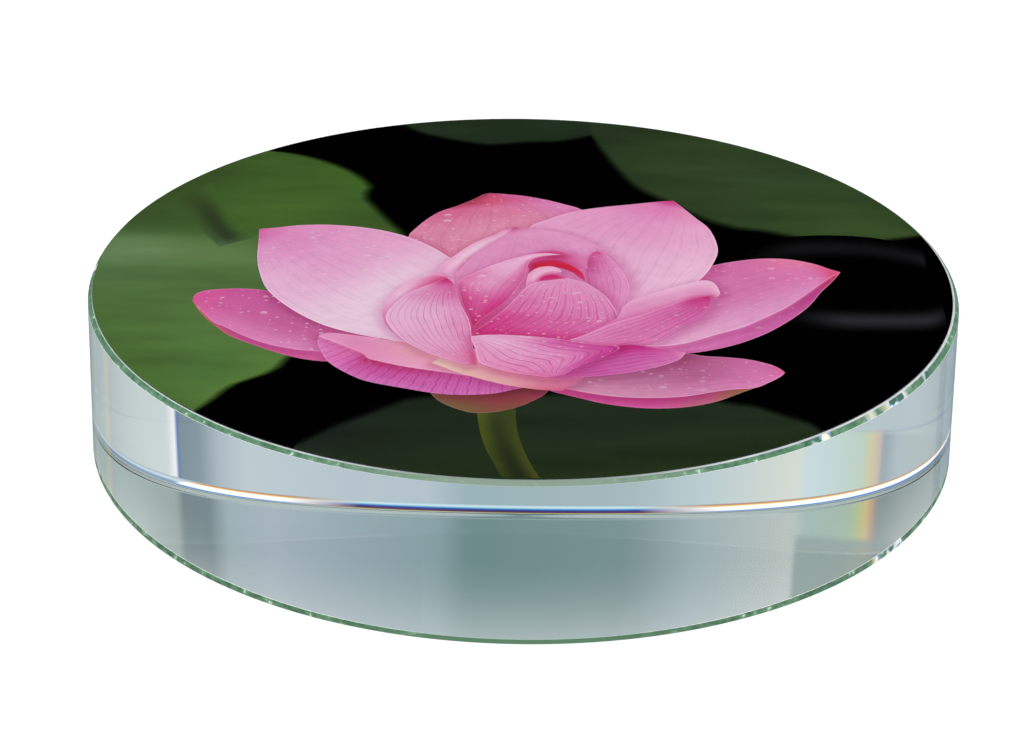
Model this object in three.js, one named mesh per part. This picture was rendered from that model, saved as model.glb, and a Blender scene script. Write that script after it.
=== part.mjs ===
// A round photo paperweight: a thick disc of clear polished glass, with a picture laid on its top face.
// The picture is a stack of three thin round sheets, cut together: a clear double-sided adhesive film
// next to the glass, the printed picture, and a clear gloss film that guards the print.
//
// Millimetres, +Z up. The origin is the centre of the bottom face, where the paperweight stands.
// The picture's lower edge faces -Y and its right-hand side faces +X.
import * as THREE from "three";

// The glass disc.
const GLASS_DIAMETER = 80;
const GLASS_THICKNESS = 15.5; // plate sold as 15 mm
const CHAMFER_TOP = 0.35; // 45 degree ground and polished edge round the top face
const BOTTOM_BEVEL_HEIGHT = 0.5; // steeper ground edge round the bottom face
const BOTTOM_BEVEL_WIDTH = 0.2;

// The picture sheets.
const BARE_RIM = 0.25; // clear glass left between the sheets' edge and the top chamfer
const ADHESIVE_THICKNESS = 0.03;
const PRINT_THICKNESS = 0.08;
const COVER_THICKNESS = 0.04;

const FULL_TURN_STEPS = 144; // flat steps that stand for a round edge

const glassRadius = GLASS_DIAMETER / 2;
const sheetRadius = glassRadius - CHAMFER_TOP - BARE_RIM;

const clearGlass = new THREE.MeshStandardMaterial({
  color: 0xdcebe6,
  roughness: 0.02,
  metalness: 0,
  transparent: true,
  opacity: 0.35,
});
const clearAdhesive = new THREE.MeshStandardMaterial({
  color: 0xf4f5f0,
  roughness: 0.3,
  metalness: 0,
  transparent: true,
  opacity: 0.5,
});
const printedPaper = new THREE.MeshStandardMaterial({
  color: 0xb86a8c,
  roughness: 0.55,
  metalness: 0,
});
const clearFilm = new THREE.MeshStandardMaterial({
  color: 0xffffff,
  roughness: 0.08,
  metalness: 0,
  transparent: true,
  opacity: 0.15,
});

// A solid of revolution about +Z from its outline of [radius, height] points, listed from the axis
// at the bottom to the axis at the top.
function turned(outline) {
  const profile = outline.map(([radius, height]) => new THREE.Vector2(radius, height));
  return new THREE.LatheGeometry(profile, FULL_TURN_STEPS).rotateX(Math.PI / 2);
}

// The thick disc, standing on its bottom face, with its top edge chamfered and its bottom edge bevelled.
function glassDisc() {
  const outline = [
    [0, 0],
    [glassRadius - BOTTOM_BEVEL_WIDTH, 0],
    [glassRadius, BOTTOM_BEVEL_HEIGHT],
    [glassRadius, GLASS_THICKNESS - CHAMFER_TOP],
    [glassRadius - CHAMFER_TOP, GLASS_THICKNESS],
    [0, GLASS_THICKNESS],
  ];
  const disc = new THREE.Mesh(turned(outline), clearGlass);
  disc.name = "glass_disc";
  return disc;
}

// One die-cut round sheet of the picture, with its underside at its own origin.
function roundSheet(name, thickness, material) {
  const outline = [
    [0, 0],
    [sheetRadius, 0],
    [sheetRadius, thickness],
    [0, thickness],
  ];
  const sheet = new THREE.Mesh(turned(outline), material);
  sheet.name = name;
  return sheet;
}

// The picture's sheets, laid one on the other from the glass up.
function picture() {
  const stack = new THREE.Group();
  const sheets = [
    ["adhesive_film", ADHESIVE_THICKNESS, clearAdhesive],
    ["picture_print", PRINT_THICKNESS, printedPaper],
    ["clear_cover_film", COVER_THICKNESS, clearFilm],
  ];
  let height = 0;
  for (const [name, thickness, material] of sheets) {
    const sheet = roundSheet(name, thickness, material);
    sheet.position.z = height;
    stack.add(sheet);
    height += thickness;
  }
  return stack;
}

const paperweight = new THREE.Group();
paperweight.add(glassDisc());

const topPicture = picture();
topPicture.position.z = GLASS_THICKNESS;
paperweight.add(topPicture);

export default paperweight;
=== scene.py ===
"""Round glass paperweight with a printed lotus under a clear cover film, on a pale table."""

import math

import bpy
import numpy as np
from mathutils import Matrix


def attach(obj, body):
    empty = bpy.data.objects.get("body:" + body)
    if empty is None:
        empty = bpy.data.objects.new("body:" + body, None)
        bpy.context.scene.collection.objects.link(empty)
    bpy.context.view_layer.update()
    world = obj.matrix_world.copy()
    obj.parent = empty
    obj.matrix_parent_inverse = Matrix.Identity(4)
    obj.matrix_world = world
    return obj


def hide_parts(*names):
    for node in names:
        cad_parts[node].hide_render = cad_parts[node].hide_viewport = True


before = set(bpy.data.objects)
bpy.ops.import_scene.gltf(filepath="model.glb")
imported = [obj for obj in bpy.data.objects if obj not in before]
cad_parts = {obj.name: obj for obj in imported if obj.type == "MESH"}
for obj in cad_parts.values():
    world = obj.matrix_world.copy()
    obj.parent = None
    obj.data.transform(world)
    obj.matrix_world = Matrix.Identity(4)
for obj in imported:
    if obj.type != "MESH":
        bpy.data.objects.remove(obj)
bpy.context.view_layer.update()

# Camera: a long lens a little above the table, looking down at the front edge of the disc.
CAMERA_PLACE = (0.0, -0.3311, 0.16725)
CAMERA_TURN = (64.069, -0.706, 0.510)
camera_data = bpy.data.cameras.new("camera")
camera_data.lens = 138.86
camera_data.sensor_width = 36.0
camera_data.clip_start = 0.01
camera_data.clip_end = 20.0
camera = bpy.data.objects.new("camera", camera_data)
camera.location = CAMERA_PLACE
camera.rotation_euler = [math.radians(turn) for turn in CAMERA_TURN]
bpy.context.scene.collection.objects.link(camera)
bpy.context.scene.camera = camera
bpy.context.scene.view_settings.view_transform = "Standard"

# The table: a matt white sheet of card that runs on past the edges of the view. It is lit from all
# round, so the disc throws no shadow line on it. It lies a hair below the glass.
MM = 0.001
TABLE_SIDE = 3.0
TABLE_DROP = 0.02
bpy.ops.object.select_all(action="DESELECT")
bpy.ops.mesh.primitive_plane_add(size=TABLE_SIDE, location=(0.0, 0.0, -TABLE_DROP * MM))
table = bpy.context.object
table.name = "table"
bpy.ops.object.transform_apply(location=True)
table_paint = bpy.data.materials.new("table_white")
table_paint.use_nodes = True
shader = table_paint.node_tree.nodes["Principled BSDF"]
shader.inputs["Base Color"].default_value = (0.35, 0.35, 0.35, 1.0)
shader.inputs["Roughness"].default_value = 0.9
shader.inputs["Specular IOR Level"].default_value = 0.0
shader.inputs["Emission Color"].default_value = (1.0, 1.0, 1.0, 1.0)
shader.inputs["Emission Strength"].default_value = 0.85
table_paint.cycles.emission_sampling = "NONE"
table.data.materials.append(table_paint)
table.visible_glossy = False
table.visible_transmission = False

# The studio round the table: even white light from all sides, and a ring of soft grey and pale
# cards that only the glass shows. Each card is named by its bearing, 0 straight behind the disc,
# with one row hung high for light that rises out of the glass and one low for light that falls.
BEHIND_HIGH = (
    (-90, (205, 215, 220)), (-75, (155, 170, 175)), (-64, (185, 195, 200)), (-45, (175, 190, 195)),
    (-41, (150, 165, 175)), (-40, (205, 185, 170)), (-38, (210, 205, 165)), (-36, (190, 210, 195)),
    (-27, (200, 220, 225)), (-25, (215, 220, 210)), (-14, (185, 205, 210)), (-8, (165, 185, 190)),
    (4, (155, 180, 185)), (7, (180, 195, 205)), (25, (190, 205, 210)), (29, (170, 185, 195)),
    (32, (130, 150, 160)), (36, (120, 140, 150)), (36.3, (55, 70, 130)), (36.8, (110, 155, 210)),
    (37.2, (250, 250, 250)), (39, (210, 220, 220)), (90, (190, 200, 205)),
)
BEHIND_LOW = (
    (-90, (165, 175, 180)), (-72, (130, 150, 155)), (-62, (150, 165, 165)), (-41, (120, 135, 135)),
    (-40, (160, 135, 125)), (-38, (205, 180, 120)), (-36.5, (180, 190, 130)), (-34, (160, 185, 165)),
    (-27, (160, 185, 180)), (-25, (185, 195, 190)), (-14, (155, 175, 180)), (-8, (120, 145, 145)),
    (4, (110, 140, 140)), (6.5, (135, 160, 165)), (22, (165, 180, 190)), (28, (155, 175, 180)),
    (31, (110, 130, 135)), (36, (105, 125, 130)), (37.5, (150, 165, 160)), (58, (165, 185, 180)),
    (70, (145, 160, 160)), (90, (150, 165, 165)),
)
FLOOR_LINE, FLOOR_DIP = -27.3, -2.7
WHITE_LIGHT = (1.0, 1.0, 1.0)
NO_LIGHT = (0.0, 0.0, 0.0)
CEILING_LIGHT = (0.35, 0.35, 0.36)
FLOOR_HAZE = (0.80, 0.86, 0.86)


def shade(r, g, b):
    """A paint colour mixed on a screen, 0 to 255, as the light it sends back."""
    def channel(c):
        c = c / 255.0
        return c / 12.92 if c <= 0.04045 else ((c + 0.055) / 1.055) ** 2.4
    return (channel(r), channel(g), channel(b))


def feed(tree, value, socket):
    """Gives a socket a plain number, a plain colour or a wire from another node."""
    if isinstance(value, tuple):
        socket.default_value = (*value, 1.0)
    elif isinstance(value, (int, float)):
        socket.default_value = value
    else:
        tree.links.new(value, socket)


def calc(tree, operation, *values, clamp=False):
    """One sum on numbers or wires."""
    node = tree.nodes.new("ShaderNodeMath")
    node.operation = operation
    node.use_clamp = clamp
    for slot, value in enumerate(values):
        feed(tree, value, node.inputs[slot])
    return node.outputs[0]


def blend(tree, factor, first, second, way="MIX"):
    """Blends two colours, the second in full where the factor is 1."""
    node = tree.nodes.new("ShaderNodeMix")
    node.data_type = "RGBA"
    node.blend_type = way
    feed(tree, factor, node.inputs[0])
    feed(tree, first, node.inputs[6])
    feed(tree, second, node.inputs[7])
    return node.outputs[2]


def span(tree, value, start, end, low=0.0, high=1.0):
    """Turns one range of a value into another, with an even slope, held at both ends."""
    node = tree.nodes.new("ShaderNodeMapRange")
    feed(tree, value, node.inputs[0])
    for slot, number in zip((1, 2, 3, 4), (start, end, low, high)):
        node.inputs[slot].default_value = number
    return node.outputs[0]


def colour_run(tree, value, stops):
    """A run of colours, each fading into the next, picked by a value from 0 to 1."""
    ramp = tree.nodes.new("ShaderNodeValToRGB")
    tree.links.new(value, ramp.inputs[0])
    elements = ramp.color_ramp.elements
    elements.remove(elements[1])
    for number, (place, colour) in enumerate(stops):
        stop = elements[0] if number == 0 else elements.new(place)
        stop.position = place
        stop.color = (*shade(*colour), 1.0)
    return ramp.outputs[0]


world = bpy.data.worlds.new("studio")
bpy.context.scene.world = world
world.use_nodes = True
world.cycles.sampling_method = "NONE"
studio = world.node_tree
studio.nodes.clear()
direction = studio.nodes.new("ShaderNodeTexCoord")
parts = studio.nodes.new("ShaderNodeSeparateXYZ")
studio.links.new(direction.outputs["Generated"], parts.inputs[0])
across, back, up = parts.outputs[0], parts.outputs[1], parts.outputs[2]
flat = calc(studio, "SQRT", calc(studio, "ADD", calc(studio, "MULTIPLY", across, across),
                                 calc(studio, "MULTIPLY", back, back)))
sine = calc(studio, "DIVIDE", across, flat)
bearing = calc(studio, "MULTIPLY_ADD", calc(studio, "ARCSINE", sine), 1.0 / math.pi, 0.5)
degrees = calc(studio, "MULTIPLY_ADD", bearing, 180.0, -90.0)
height = calc(studio, "MULTIPLY", calc(studio, "ARCSINE", up), 180.0 / math.pi)
high_cards = colour_run(studio, bearing, [(angle / 180.0 + 0.5, colour) for angle, colour in BEHIND_HIGH])
low_cards = colour_run(studio, bearing, [(angle / 180.0 + 0.5, colour) for angle, colour in BEHIND_LOW])

# Low on the table side the light grows paler towards the floor line under the glass.
cosine_squared = calc(studio, "SUBTRACT", 1.0, calc(studio, "MULTIPLY", sine, sine))
floor_line = calc(studio, "MULTIPLY_ADD", cosine_squared, FLOOR_DIP, FLOOR_LINE)
above_floor = calc(studio, "SUBTRACT", height, floor_line)
paler = calc(studio, "POWER", span(studio, above_floor, 1.3, -0.1), 1.6)
paler = calc(studio, "MULTIPLY", paler, span(studio, height, -32.0, -31.0))
low_cards = blend(studio, calc(studio, "MULTIPLY", paler, 0.55), low_cards, FLOOR_HAZE)


def hang_card(cards, colour, strength, *edges):
    """Hangs one more card over the others. Each edge is a value, where it starts and where it is full."""
    factor = strength
    for value, start, full in edges:
        factor = calc(studio, "MULTIPLY", factor, span(studio, value, start, full))
    return blend(studio, factor, cards, colour)


def spectrum(lines):
    """The colours a thick edge throws, by height above the table in degrees."""
    return colour_run(studio, calc(studio, "MULTIPLY_ADD", height, 1.0 / 60.0, 0.5),
                      [(angle / 60.0 + 0.5, colour) for angle, colour in lines])


# Light that leaves through a ground edge, which is never quite smooth, meets coloured cards of its
# own. Light that leaves through a polished face never does.
rays = studio.nodes.new("ShaderNodeLightPath")
through_edge = calc(studio, "SUBTRACT", 1.0, rays.outputs["Is Singular Ray"])
off_centre = calc(studio, "ABSOLUTE", calc(studio, "ADD", degrees, -1.5))

# The rainbow card on the right stops short of the top, where a plain pale one hangs over it.
high_cards = hang_card(high_cards, shade(188, 202, 208), 1.0,
                       (degrees, -31.0, -34.0), (height, 26.65, 26.55))
# Right of the pale card a darker shelf of the table shows low down.
low_cards = hang_card(low_cards, shade(142, 160, 157), 0.8,
                      (degrees, -25.2, -26.0), (height, -28.12, -28.22))
# A pale card faces the edges from just under the table's horizon.
low_cards = hang_card(low_cards, shade(240, 245, 246), 1.0,
                      (height, -26.5, -25.5), (height, -12.0, -14.0), (through_edge, 0.0, 1.0))
# The table close to the disc is paler at both sides.
low_cards = hang_card(low_cards, shade(186, 203, 201), 0.7,
                      (height, -31.5, -33.5), (off_centre, 17.0, 26.0))
cards = blend(studio, span(studio, height, -11.0, -9.0), low_cards, high_cards)

# The back edge of the disc splits light: orange, white and blue at the sides, blue and plum behind.
at_sides = spectrum(((-12, (60, 110, 190)), (0, (60, 120, 205)), (3, (130, 185, 240)), (6, (280, 280, 285)),
                     (14.5, (285, 280, 265)), (17, (255, 205, 130)), (20, (190, 130, 85)),
                     (25, (170, 175, 180))))
behind = spectrum(((-8, (180, 180, 120)), (-1, (200, 190, 120)), (3, (150, 120, 80)), (6, (95, 55, 75)),
                   (10, (60, 40, 110)), (13, (45, 75, 160)), (16, (110, 180, 225)),
                   (18.5, (205, 235, 242)), (25.5, (175, 200, 210))))
far_left = spectrum(((-5, (165, 180, 180)), (3, (120, 150, 185)), (8, (150, 180, 210)),
                     (13, (215, 228, 238)), (17, (190, 205, 215)), (22, (180, 195, 200))))
edge_light = blend(studio, span(studio, off_centre, 9.0, 16.0), behind, at_sides)
edge_light = blend(studio, span(studio, degrees, 29.0, 30.0), edge_light, far_left)
cards = hang_card(cards, edge_light, 1.0, (height, 26.0, 25.0), (height, -14.0, -12.0),
                  (through_edge, 0.0, 1.0))

# What looks straight into the studio sees white. Gloss sees the table's cards and a dim ceiling.
sheen = blend(studio, span(studio, height, 35.0, 65.0), NO_LIGHT, CEILING_LIGHT)
glossy_light = blend(studio, span(studio, height, -1.0, 1.0), low_cards, sheen)
seen = blend(studio, rays.outputs["Is Glossy Ray"], WHITE_LIGHT, glossy_light)
seen = blend(studio, rays.outputs["Is Transmission Ray"], seen, cards)
background = studio.nodes.new("ShaderNodeBackground")
studio.links.new(seen, background.inputs[0])
output = studio.nodes.new("ShaderNodeOutputWorld")
studio.links.new(background.outputs[0], output.inputs[0])

# The glass disc: one thick round of clear plate glass, 80 mm across, its two faces and its wall
# polished. The top edge is ground by hand to a narrow, slightly uneven round, and the bottom edge to
# a small bevel with a frosted strip above it that grows wider towards the sides.
GLASS_RADIUS = 40.0
GLASS_TOP = 15.495
GLASS_STEPS = 720
GLASS_BENDING = 1.41
BEVEL_WIDTH, BEVEL_HEIGHT = 0.12, 0.2
GROUND_HEIGHT, MORE_AT_SIDES = 0.5, 0.4
ARRIS = 0.06
EDGE_ARC = 0.9
EDGE_TILTS = (12, 19, 27, 35, 43, 50, 57)
RIM_INSIDE = 39.2
FROSTED, THROUGH_FROST = 0.45, 0.02
# Painted flashes of light on the ground edges: how far each fades out, its strengths and its colours.
GLINT_FADE = 0.8
NO_GLINT, FULL_GLINT = (0, 0, 0), (255, 255, 255)
PAINTED_GLINT_COLOURS = ((0.40, (75, 118, 95)), (0.46, (150, 185, 235)), (0.51, (255, 255, 255)),
                (0.64, (255, 248, 200)))


def turned_piece(name, profile, steps):
    """Draws a round up from its foot, ring by ring, through the radii and heights of its profile."""
    bpy.ops.object.select_all(action="DESELECT")
    radius, height = profile[0]
    bpy.ops.mesh.primitive_circle_add(vertices=steps, radius=radius * MM, fill_type="NGON",
                                      location=(0.0, 0.0, height * MM))
    piece = bpy.context.object
    piece.name = name
    bpy.ops.object.transform_apply(location=True)
    bpy.ops.object.mode_set(mode="EDIT")
    bpy.ops.mesh.select_mode(type="FACE")
    bpy.ops.mesh.select_all(action="SELECT")
    for (r0, z0), (r1, z1) in zip(profile, profile[1:]):
        bpy.ops.mesh.extrude_region_move(TRANSFORM_OT_translate={"value": (0.0, 0.0, (z1 - z0) * MM)})
        if r1 != r0:
            bpy.ops.transform.resize(value=(r1 / r0, r1 / r0, 1.0), center_override=(0.0, 0.0, z1 * MM))
    bpy.ops.mesh.select_all(action="SELECT")
    bpy.ops.mesh.normals_make_consistent(inside=False)
    bpy.ops.object.mode_set(mode="OBJECT")
    return piece


def edge_size(angle):
    """How much wider or narrower than usual the hand grinding left the top edge, by bearing."""
    return 1.0 + 0.05 * math.cos(angle) + 0.335 * math.sin(angle) - 0.065 * math.sin(angle) ** 2


first_tilt, last_tilt = math.radians(EDGE_TILTS[0]), math.radians(EDGE_TILTS[-1])
edge_depth = EDGE_ARC * (math.sin(last_tilt) - math.sin(first_tilt))
profile = [(GLASS_RADIUS - BEVEL_WIDTH, 0.0), (GLASS_RADIUS, BEVEL_HEIGHT), (GLASS_RADIUS, GROUND_HEIGHT),
           (GLASS_RADIUS, GROUND_HEIGHT + ARRIS), (GLASS_RADIUS, GLASS_TOP - edge_depth - ARRIS)]
for tilt in EDGE_TILTS:
    turn = math.radians(tilt)
    profile.append((GLASS_RADIUS - EDGE_ARC * (math.cos(first_tilt) - math.cos(turn)),
                    GLASS_TOP - EDGE_ARC * (math.sin(last_tilt) - math.sin(turn))))
profile.append((RIM_INSIDE, GLASS_TOP))
glass = turned_piece("clear_glass_disc", profile, GLASS_STEPS)

# Each ring of faces has its finish: 0 polished, 1 ground top edge, 2 ground bottom edge, 3 the fine
# arris lines where ground meets polished, ground glass painted near white as the bright line of light
# they catch, 4 the bare rim round the picture.
finishes = (2, 2, 3, 0, 3) + (1,) * (len(EDGE_TILTS) - 1) + (4,)
middles = [((r0 + r1) / 2.0, (z0 + z1) / 2.0) for (r0, z0), (r1, z1) in zip(profile, profile[1:])]
finish_of = {}
for polygon in glass.data.polygons:
    if len(polygon.vertices) == 4:
        spot = (math.hypot(polygon.center.x, polygon.center.y) / MM, polygon.center.z / MM)
        gaps = [math.hypot(spot[0] - r, spot[1] - z) for r, z in middles]
        finish_of[polygon.index] = finishes[gaps.index(min(gaps))]
for vertex in glass.data.vertices:
    radius = math.hypot(vertex.co.x, vertex.co.y) / MM
    if vertex.co.z > 14.0 * MM and radius > RIM_INSIDE - 0.05:
        size = edge_size(math.atan2(vertex.co.y, vertex.co.x))
        shrink = (GLASS_RADIUS - (GLASS_RADIUS - radius) * size) / radius
        vertex.co.x *= shrink
        vertex.co.y *= shrink
        vertex.co.z = GLASS_TOP * MM - (GLASS_TOP * MM - vertex.co.z) * size
    elif 0.3 * MM < vertex.co.z < 1.0 * MM:
        vertex.co.z += MORE_AT_SIDES * MM * (vertex.co.x / (GLASS_RADIUS * MM)) ** 2

clear = bpy.data.materials.new("polished_clear_glass")
clear.use_nodes = True
shader = clear.node_tree.nodes["Principled BSDF"]
shader.inputs["Base Color"].default_value = (1.0, 1.0, 1.0, 1.0)
shader.inputs["Roughness"].default_value = 0.0
shader.inputs["IOR"].default_value = GLASS_BENDING
shader.inputs["Transmission Weight"].default_value = 1.0


def noise(tree, place, scale, detail=2.0, roughness=0.5):
    """A cloudy pattern fixed to the piece."""
    node = tree.nodes.new("ShaderNodeTexNoise")
    node.inputs["Scale"].default_value = scale
    node.inputs["Detail"].default_value = detail
    node.inputs["Roughness"].default_value = roughness
    tree.links.new(place, node.inputs["Vector"])
    return node.outputs[0]


def ground_edge(name, dark, light, chip_sparkle, front, fineness, glints=()):
    """Ground glass: frosted in its own colour from outside, clear for light that comes from within.

    Its palest grains are chips, painted bright as small sparkles of light. Near the middle of the
    front and back it turns an even grey-green. Glints are bearings where painted flashes of white,
    blue and yellow light stand for a chipped edge catching the light."""
    material = bpy.data.materials.new(name)
    material.use_nodes = True
    tree = material.node_tree
    shader = tree.nodes["Principled BSDF"]
    place = tree.nodes.new("ShaderNodeTexCoord").outputs["Object"]
    # The palest grains are chips painted bright, as sparkles of light.
    surface = colour_run(tree, noise(tree, place, fineness, 6.0, 0.62),
                         ((0.38, dark), (0.60, light), (0.68, chip_sparkle)))
    split = tree.nodes.new("ShaderNodeSeparateXYZ")
    tree.links.new(place, split.inputs[0])
    off_middle = calc(tree, "ABSOLUTE", split.outputs[0])
    # Near the middle of the front and back the edge is painted an even grey-green.
    grey_middle = span(tree, off_middle, 6.0 * MM, 18.0 * MM, 0.95, 0.0)
    surface = blend(tree, grey_middle, surface, shade(*front))
    if glints:
        around = tree.nodes.new("ShaderNodeTexGradient")
        around.gradient_type = "RADIAL"
        tree.links.new(place, around.inputs[0])
        stops = [(0.0, NO_GLINT)]
        # Each glint is a painted flash of light, faded in and out over a short bearing.
        for start, end in glints:
            for bearing, glint_strength in ((start - GLINT_FADE, NO_GLINT), (start, FULL_GLINT),
                                     (end, FULL_GLINT), (end + GLINT_FADE, NO_GLINT)):
                stops.append((bearing / 360.0 + 0.5, glint_strength))
        stops.append((1.0, NO_GLINT))
        glint_spots = colour_run(tree, around.outputs[1], stops)
        painted_flashes = colour_run(tree, noise(tree, place, 1000.0, 1.0), PAINTED_GLINT_COLOURS)
        surface = blend(tree, glint_spots, surface, painted_flashes)
    inside = tree.nodes.new("ShaderNodeNewGeometry").outputs["Backfacing"]
    tree.links.new(blend(tree, inside, surface, WHITE_LIGHT), shader.inputs["Base Color"])
    tree.links.new(inside, shader.inputs["Transmission Weight"])
    tree.links.new(span(tree, inside, 0.0, 1.0, FROSTED, THROUGH_FROST), shader.inputs["Roughness"])
    shader.inputs["IOR"].default_value = GLASS_BENDING
    shader.inputs["Specular IOR Level"].default_value = 0.2
    return material


# The glints given with the top and bottom edges are painted flashes of light.
for finish in (
        clear,
        ground_edge("ground_chamfer", (72, 118, 90), (112, 158, 124), (215, 245, 225), (143, 163, 148),
                    1100.0, glints=((-51, -49), (-41.5, -41), (-37.5, -33), (-27, -26.5), (177, 179))),
        ground_edge("ground_bottom_bevel", (66, 104, 78), (106, 146, 116), (205, 235, 212), (92, 128, 100),
                    1100.0, glints=((-38, -37.5), (-35, -34), (-32.5, -32))),
        # The arris lines are ground glass painted near white for the bright line of light along them.
        ground_edge("arris_line_glint", (200, 215, 208), (250, 252, 252), (255, 255, 255), (165, 190, 178),
                    3000.0),
        ground_edge("bare_rim", (206, 210, 218), (232, 236, 240), (250, 250, 252), (146, 166, 152), 500.0)):
    glass.data.materials.append(finish)
for polygon in glass.data.polygons:
    polygon.material_index = finish_of.get(polygon.index, 0)
    polygon.use_smooth = polygon.index in finish_of and polygon.material_index in (0, 1, 3)
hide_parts("glass_disc")
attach(glass, "root")

# The picture: a round of paper, printed, cut out and stuck a hair off centre on the glass. The print
# is a lotus seen from the side, and its ink is laid petal over petal from the back of the flower to
# the front. Sizes are in millimetres, from the middle of the disc.
PAPER_RADIUS = 39.5
PAPER_TOP = 15.56
INK_STEP = 0.0013
SHADE_FALL = (0.15, -0.45)
SHADE_REACH = 0.8
PETAL_LIGHT = ((1.15, 0.16, 0.01), (1.265, 0.42, 0.02), (1.196, 0.26, 0.015))
PAPER_SHIFT = -0.1
PAPER_BOTTOM = 15.531
ACROSS, ALONG = 26, 44
OUTLINE_STEPS = 30
LINE_LENGTH = 6.0
BLACK_INK = (0.0003, 0.0003, 0.0003)
layers = []
outlines = []


def along(points, place):
    """A point on the smooth line through the given points, 0 at its start and 1 at its end."""
    lengths = [0.0]
    for (x0, y0), (x1, y1) in zip(points, points[1:]):
        lengths.append(lengths[-1] + math.hypot(x1 - x0, y1 - y0))
    target = place * lengths[-1]
    number = 0
    while number < len(points) - 2 and lengths[number + 1] < target:
        number += 1
    t = (target - lengths[number]) / (lengths[number + 1] - lengths[number])
    before = points[max(number - 1, 0)]
    start, end = points[number], points[number + 1]
    after = points[min(number + 2, len(points) - 1)]
    result = []
    for a, b, c, d in zip(before, start, end, after):
        result.append(0.5 * (2.0 * b + (c - a) * t + (2.0 * a - 5.0 * b + 4.0 * c - d) * t * t
                             + (3.0 * b - a - 3.0 * c + d) * t * t * t))
    return result


def tint_at(rows, u, t):
    """The colour at a place on a petal, from rows of left, middle and right colours along it."""
    number = 0
    while number < len(rows) - 2 and rows[number + 1][0] < t:
        number += 1
    (t0, *first), (t1, *second) = rows[number], rows[number + 1]
    f = min(max((t - t0) / (t1 - t0), 0.0), 1.0)
    f = f * f * (3.0 - 2.0 * f)
    side, far = (0, 1) if u < 0.5 else (1, 2)
    g = 2.0 * u if u < 0.5 else 2.0 * u - 1.0
    g = g * g * (3.0 - 2.0 * g)
    colour = []
    for channel in range(3):
        near_row = first[side][channel] * (1.0 - g) + first[far][channel] * g
        next_row = second[side][channel] * (1.0 - g) + second[far][channel] * g
        colour.append(near_row * (1.0 - f) + next_row * f)
    return colour


def ink(name, left, right, rows, veins=0.0, rim=0.0, soft=0.0, wet=0.0, count=15.0, turned=False):
    """One shape of the print: a thin sheet of ink between two drawn edges, coloured, veined and rimmed.

    The rows give its colours. Count is how many veins cross it, and turned veins run from edge to
    edge. A soft shape fades out towards its right edge."""
    bpy.ops.object.select_all(action="DESELECT")
    bpy.ops.mesh.primitive_grid_add(x_subdivisions=ACROSS, y_subdivisions=ALONG, size=1.0)
    shape = bpy.context.object
    shape.name = name
    mesh = shape.data
    height = PAPER_TOP + INK_STEP * (len(layers) + 1)
    tint = mesh.color_attributes.new("tint", "FLOAT_COLOR", "POINT")
    finish = mesh.color_attributes.new("finish", "FLOAT_COLOR", "POINT")
    drawn = mesh.color_attributes.new("drawn", "FLOAT_COLOR", "POINT")
    for vertex in mesh.vertices:
        u, t = vertex.co.x + 0.5, vertex.co.y + 0.5
        u = 0.5 - 0.5 * math.cos(math.pi * u)
        (x0, y0), (x1, y1) = along(left, t), along(right, t)
        width = math.hypot(x1 - x0, y1 - y0)
        x, y = x0 + (x1 - x0) * u, y0 + (y1 - y0) * u
        tint.data[vertex.index].color = (*shade(*tint_at(rows, u, t)), 1.0)
        edge = (1.0 - u if soft > 0.0 else min(u, 1.0 - u)) * width
        finish.data[vertex.index].color = (veins, rim, wet, soft)
        line, run = (t, u) if turned else (u, t)
        drawn.data[vertex.index].color = (line * count, run * LINE_LENGTH, edge, len(layers) * 3.7)
        vertex.co = (x * MM, y * MM, height * MM)
    mesh.update()
    for polygon in mesh.polygons:
        if polygon.normal.z < 0.0:
            polygon.flip()
    mesh.update()
    layers.append(shape)
    places = [n / OUTLINE_STEPS for n in range(OUTLINE_STEPS + 1)]
    outlines.append([along(left, place) for place in places]
                    + [along(right, 1.0 - place) for place in places])


def rim_arc(start, end, count=14, radius=PAPER_RADIUS - 0.02):
    """Points on the paper's own edge, from one bearing to another in degrees."""
    return [(PAPER_SHIFT + radius * math.cos(math.radians(start + (end - start) * n / (count - 1))),
             radius * math.sin(math.radians(start + (end - start) * n / (count - 1))))
            for n in range(count)]


BLACK = (1, 1, 1)
# Leaves behind the flower, out of focus.
ink("leaf_left",
    rim_arc(129.6, 225.0),
    [(-25, 30.2), (-22.5, 29.8), (-19, 27.8), (-16, 24.8), (-14.3, 21.5), (-14.8, 19.3), (-13.9, 17),
     (-12.3, 13.5), (-10.5, 9.5), (-9, 2), (-12, -8), (-18, -14), (-20.1, -16.7), (-20.7, -18.6),
     (-22, -20.3), (-24.5, -22.3), (-25.6, -24.2), (-26.5, -26), (-27.7, -27.7)],
    [(0.0, (66, 92, 46), (62, 90, 40), (60, 88, 38)),
     (0.18, (62, 86, 42), (70, 102, 46), (74, 110, 48)),
     (0.34, (66, 92, 50), (72, 104, 46), (62, 88, 40)),
     (0.45, (114, 142, 96), (98, 126, 76), (82, 112, 58)),
     (0.50, (86, 116, 70), (88, 120, 68), (80, 112, 58)),
     (0.66, (84, 118, 62), (88, 122, 66), (90, 124, 66)),
     (0.85, (80, 114, 56), (84, 120, 62), (92, 128, 62)),
     (1.0, (80, 114, 56), (84, 118, 56), (88, 122, 58))],
    soft=1.3)
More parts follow.
